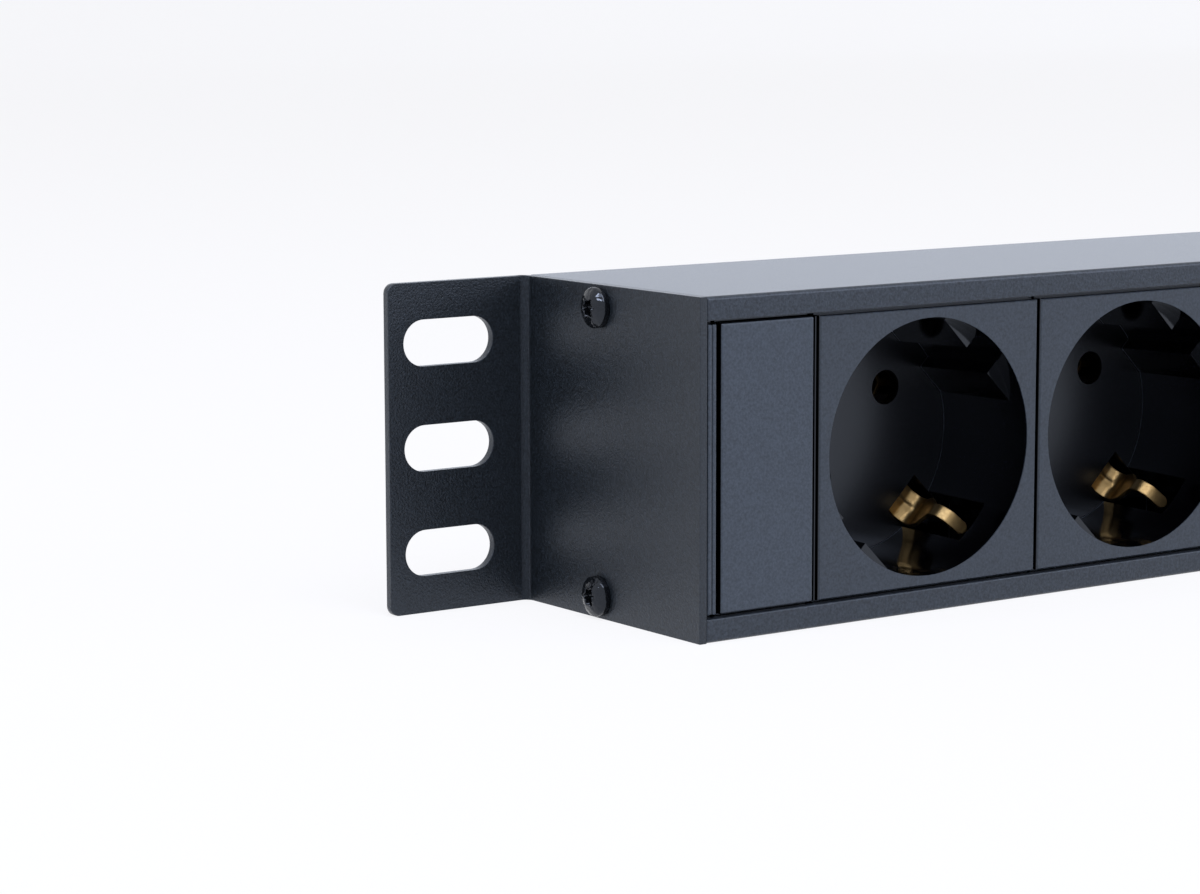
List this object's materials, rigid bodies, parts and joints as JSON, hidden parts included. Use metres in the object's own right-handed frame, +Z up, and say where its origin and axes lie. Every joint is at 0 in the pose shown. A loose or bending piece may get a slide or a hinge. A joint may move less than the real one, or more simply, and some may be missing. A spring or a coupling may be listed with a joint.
{
  "type": "rack power distribution unit",
  "caption": "Rack power distribution unit with round earthed sockets, slotted rack ears, a rocker mains switch and an appliance inlet.",
  "frame": {"origin": "under the middle of the unit, on the plane that it rests on", "axes": "+X along the unit towards the inlet, the sockets face -Y, +Z up"},
  "size_m": [0.4826, 0.0452, 0.05],
  "materials": {
    "trim_black": "moulded black plastic, fine matte",
    "pin_nickel": "nickel plated brass",
    "bar_brass": "bright rolled brass",
    "clip_brass": "bright rolled brass",
    "wire_green": "green and yellow soft plastic insulation",
    "bracket_black": "textured matte black powder coat on bent steel sheet",
    "screw_black": "glossy black zinc plated steel",
    "extrusion_black": "fine matte black powder coat on extruded aluminium",
    "inlet_black": "moulded black plastic, satin",
    "wire_brown": "brown soft plastic insulation",
    "wire_blue": "blue soft plastic insulation",
    "socket_black": "moulded black plastic, fine matte face and satin well",
    "cover_grey": "moulded grey plastic",
    "switch_black": "moulded black plastic, satin",
    "rocker_red": "clear red moulded plastic, polished",
    "tab_brass": "tinned brass"
  },
  "bodies": {
    "chassis": {"blank_filler_left": "trim_black", "blank_filler_right": "trim_black", "bonding_nut": "pin_nickel", "bonding_strap": "bar_brass", "bonding_stud": "pin_nickel", "earth_busbar": "bar_brass", "earth_clip_1": "clip_brass", "earth_clip_2": "clip_brass", "earth_clip_3": "clip_brass", "earth_clip_4": "clip_brass", "earth_clip_5": "clip_brass", "earth_clip_6": "clip_brass", "earth_clip_7": "clip_brass", "earth_clip_8": "clip_brass", "earth_wire": "wire_green", "end_bracket_left": "bracket_black", "end_bracket_right": "bracket_black", "end_screws_left": "screw_black", "end_screws_right": "screw_black", "end_spacer_left": "trim_black", "end_spacer_right": "trim_black", "housing_extrusion": "extrusion_black", "inlet_body": "inlet_black", "inlet_pins": "pin_nickel", "live_busbar": "bar_brass", "live_wire_in": "wire_brown", "live_wire_out": "wire_brown", "neutral_busbar": "bar_brass", "neutral_wire_in": "wire_blue", "neutral_wire_out": "wire_blue", "socket_1": "socket_black", "socket_2": "socket_black", "socket_3": "socket_black", "socket_4": "socket_black", "socket_5": "socket_black", "socket_6": "socket_black", "socket_7": "socket_black", "socket_8": "socket_black", "socket_cover_1": "cover_grey", "socket_cover_2": "cover_grey", "socket_cover_3": "cover_grey", "socket_cover_4": "cover_grey", "socket_cover_5": "cover_grey", "socket_cover_6": "cover_grey", "socket_cover_7": "cover_grey", "socket_cover_8": "cover_grey", "switch_housing": "switch_black", "switch_module": "socket_black", "switch_terminals": "tab_brass"},
    "rocker": {"switch_rocker": "rocker_red"}
  },
  "joints": [
    {"name": "rocker_tilt", "type": "hinge", "parent": "chassis", "child": "rocker", "pos_m": [0.1732, -0.0146, 0.025], "axis": [-1, 0, 0], "range_deg": [0, 18]}
  ]
}
